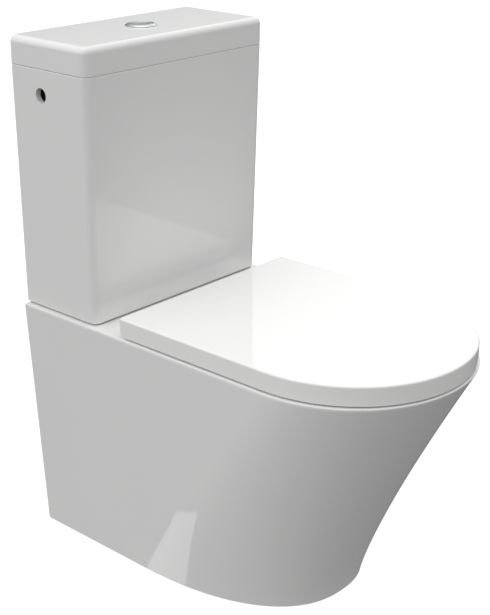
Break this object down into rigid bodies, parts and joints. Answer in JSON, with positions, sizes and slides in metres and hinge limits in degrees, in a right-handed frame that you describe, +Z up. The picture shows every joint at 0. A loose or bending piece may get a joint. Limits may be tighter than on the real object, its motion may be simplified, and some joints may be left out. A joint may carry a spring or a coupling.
{
  "type": "close coupled toilet",
  "caption": "Close coupled back-to-wall toilet: fully skirted D-shaped pan, slim cistern with a top push button, and a slim wrap-over seat and cover.",
  "frame": {"origin": "on the floor, under the centre of the whole toilet's bounding box", "axes": "+Z up, +Y towards the wall behind the toilet, +X towards the right hand of someone who faces the wall"},
  "size_m": [0.3788, 0.67, 0.815],
  "materials": {
    "glazed_china": "glossy white glaze",
    "duroplast": "polished moulding",
    "chrome": "bright plating",
    "zinc_steel": "zinc plated",
    "white_plastic": "moulded",
    "blue_plastic": "moulded",
    "grey_plastic": "moulded",
    "black_rubber": "moulded",
    "clear_rubber": "soft moulded"
  },
  "bodies": {
    "root": {"pan": "glazed_china", "cistern_tank": "glazed_china", "doughnut_washer": "black_rubber", "coupling_bolt_left": "zinc_steel", "coupling_washer_left": "black_rubber", "coupling_wing_nut_left": "white_plastic", "hinge_post_left": "chrome", "hinge_stud_left": "zinc_steel", "hinge_sleeve_left": "black_rubber", "hinge_cone_nut_left": "white_plastic", "lever_pin_left": "zinc_steel", "coupling_bolt_right": "zinc_steel", "coupling_washer_right": "black_rubber", "coupling_wing_nut_right": "white_plastic", "hinge_post_right": "chrome", "hinge_stud_right": "zinc_steel", "hinge_sleeve_right": "black_rubber", "hinge_cone_nut_right": "white_plastic", "lever_pin_right": "zinc_steel", "flush_valve_base": "white_plastic", "flush_valve_gasket": "clear_rubber", "flush_valve_back_nut": "white_plastic", "flush_valve_tower": "white_plastic", "fill_valve_body": "white_plastic", "fill_valve_washer": "black_rubber", "fill_valve_back_nut": "white_plastic", "fill_valve_cap": "white_plastic", "fill_arm_pin": "zinc_steel"},
    "seat": {"seat_ring": "duroplast", "seat_damper_left": "grey_plastic", "seat_buffer_rear_left": "clear_rubber", "seat_buffer_front_left": "clear_rubber", "seat_damper_right": "grey_plastic", "seat_buffer_rear_right": "clear_rubber", "seat_buffer_front_right": "clear_rubber"},
    "cover": {"seat_cover": "duroplast", "cover_damper_left": "grey_plastic", "cover_buffer_left": "clear_rubber", "cover_damper_right": "grey_plastic", "cover_buffer_right": "clear_rubber"},
    "lid": {"cistern_lid": "glazed_china", "button_housing": "chrome", "button_nut": "white_plastic", "full_flush_spring": "zinc_steel", "half_flush_spring": "zinc_steel"},
    "full_button": {"full_flush_button": "chrome", "full_flush_rod": "grey_plastic"},
    "full_lever": {"full_flush_lever": "blue_plastic"},
    "half_button": {"half_flush_button": "chrome", "half_flush_rod": "grey_plastic"},
    "half_lever": {"half_flush_lever": "blue_plastic"},
    "valve_spindle": {"overflow_tube": "white_plastic", "flush_seal": "clear_rubber", "flush_float": "blue_plastic", "lifting_yoke": "blue_plastic"},
    "fill_float": {"fill_float": "grey_plastic", "fill_float_rod": "grey_plastic"},
    "fill_arm": {"fill_arm": "grey_plastic"}
  },
  "joints": [
    {"name": "seat_lift", "type": "hinge", "parent": "root", "child": "seat", "pos_m": [0, 0.116, 0.413], "axis": [-1, 0, 0], "range_deg": [0, 96]},
    {"name": "cover_lift", "type": "hinge", "parent": "seat", "child": "cover", "pos_m": [0, 0.116, 0.413], "axis": [1, 0, 0], "range_deg": [-96, 0]},
    {"name": "lid_lift_off", "type": "slide", "parent": "root", "child": "lid", "axis": [0, 0, 1], "range_m": [0, 0.15]},
    {"name": "full_flush_press", "type": "slide", "parent": "lid", "child": "full_button", "axis": [0, 0, -1], "range_m": [0, 0.007], "stiffness_N_per_m": 700, "springref_m": -0.003, "deforming": ["full_flush_spring"]},
    {"name": "half_flush_press", "type": "slide", "parent": "lid", "child": "half_button", "axis": [0, 0, -1], "range_m": [0, 0.007], "stiffness_N_per_m": 700, "springref_m": -0.003, "deforming": ["half_flush_spring"]},
    {"name": "full_lever_rock", "type": "hinge", "parent": "root", "child": "full_lever", "pos_m": [-0.024, 0.258, 0.7], "axis": [0, 1, 0], "range_deg": [0, 28]},
    {"name": "half_lever_rock", "type": "hinge", "parent": "root", "child": "half_lever", "pos_m": [0.024, 0.258, 0.7], "axis": [0, -1, 0], "range_deg": [0, 28]},
    {"name": "flush_valve_lift", "type": "slide", "parent": "root", "child": "valve_spindle", "axis": [0, 0, 1], "range_m": [0, 0.008]},
    {"name": "fill_float_rise", "type": "slide", "parent": "root", "child": "fill_float", "axis": [0, 0, 1], "range_m": [0, 0.012]},
    {"name": "fill_arm_tilt", "type": "hinge", "parent": "root", "child": "fill_arm", "pos_m": [0.138, 0.258, 0.673], "axis": [0, 1, 0], "range_deg": [0, 18.5]}
  ],
  "couplings": [
    {"joint": "full_lever_rock", "follows": "full_flush_press", "rad_per_m": 69.806},
    {"joint": "half_lever_rock", "follows": "half_flush_press", "rad_per_m": 69.806},
    {"joint": "flush_valve_lift", "follows": "full_flush_press", "ratio": 1.1427},
    {"joint": "fill_arm_tilt", "follows": "fill_float_rise", "rad_per_m": 26.904}
  ]
}
